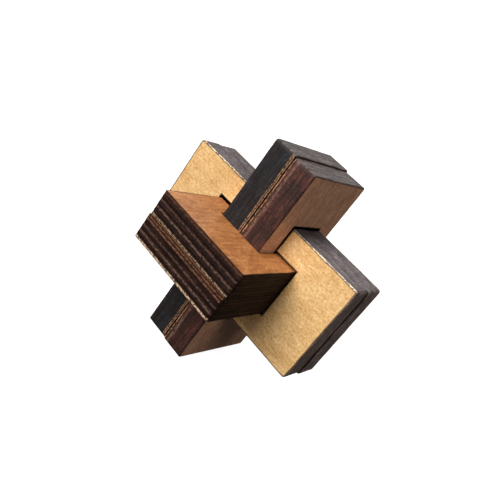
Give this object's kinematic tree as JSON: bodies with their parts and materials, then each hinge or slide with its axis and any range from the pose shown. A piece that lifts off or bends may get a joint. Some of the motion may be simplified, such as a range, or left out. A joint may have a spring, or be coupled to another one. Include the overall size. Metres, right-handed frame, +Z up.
{
  "type": "wooden burr puzzle",
  "caption": "Burr puzzle of notched plywood boards: three flat beams, each a pair of boards, cross through one another at right angles; the boards shift and come apart in turn.",
  "frame": {"origin": "on the floor under the middle of the upright beam, which is the middle of the puzzle", "axes": "+Z up along the upright beam, +Y along the long beam towards the rear, +X along the cross beam to the right"},
  "size_m": [0.078, 0.078, 0.078],
  "materials": {
    "birch_plywood": "satin"
  },
  "bodies": {
    "upright_left_board": {"upright_left_board": "birch_plywood"},
    "upright_right_board": {"upright_right_board": "birch_plywood"},
    "long_upper_board": {"long_upper_board": "birch_plywood"},
    "long_lower_board": {"long_lower_board": "birch_plywood"},
    "cross_front_board": {"cross_front_board": "birch_plywood"},
    "cross_rear_board": {"cross_rear_board": "birch_plywood"}
  },
  "joints": [
    {"name": "upright_right_play", "type": "slide", "parent": "upright_left_board", "child": "upright_right_board", "axis": [0, 0, 1], "range_m": [-0.0004, 0]},
    {"name": "long_upper_slide", "type": "slide", "parent": "upright_left_board", "child": "long_upper_board", "axis": [0, -1, 0], "range_m": [0, 0.009]},
    {"name": "long_lower_slide", "type": "slide", "parent": "upright_left_board", "child": "long_lower_board", "axis": [0, -1, 0], "range_m": [0, 0.009]},
    {"name": "cross_front_slide", "type": "slide", "parent": "upright_left_board", "child": "cross_front_board", "axis": [1, 0, 0], "range_m": [0, 0.029]},
    {"name": "cross_rear_play", "type": "slide", "parent": "upright_left_board", "child": "cross_rear_board", "axis": [1, 0, 0], "range_m": [-0.0004, 0.0004]}
  ]
}
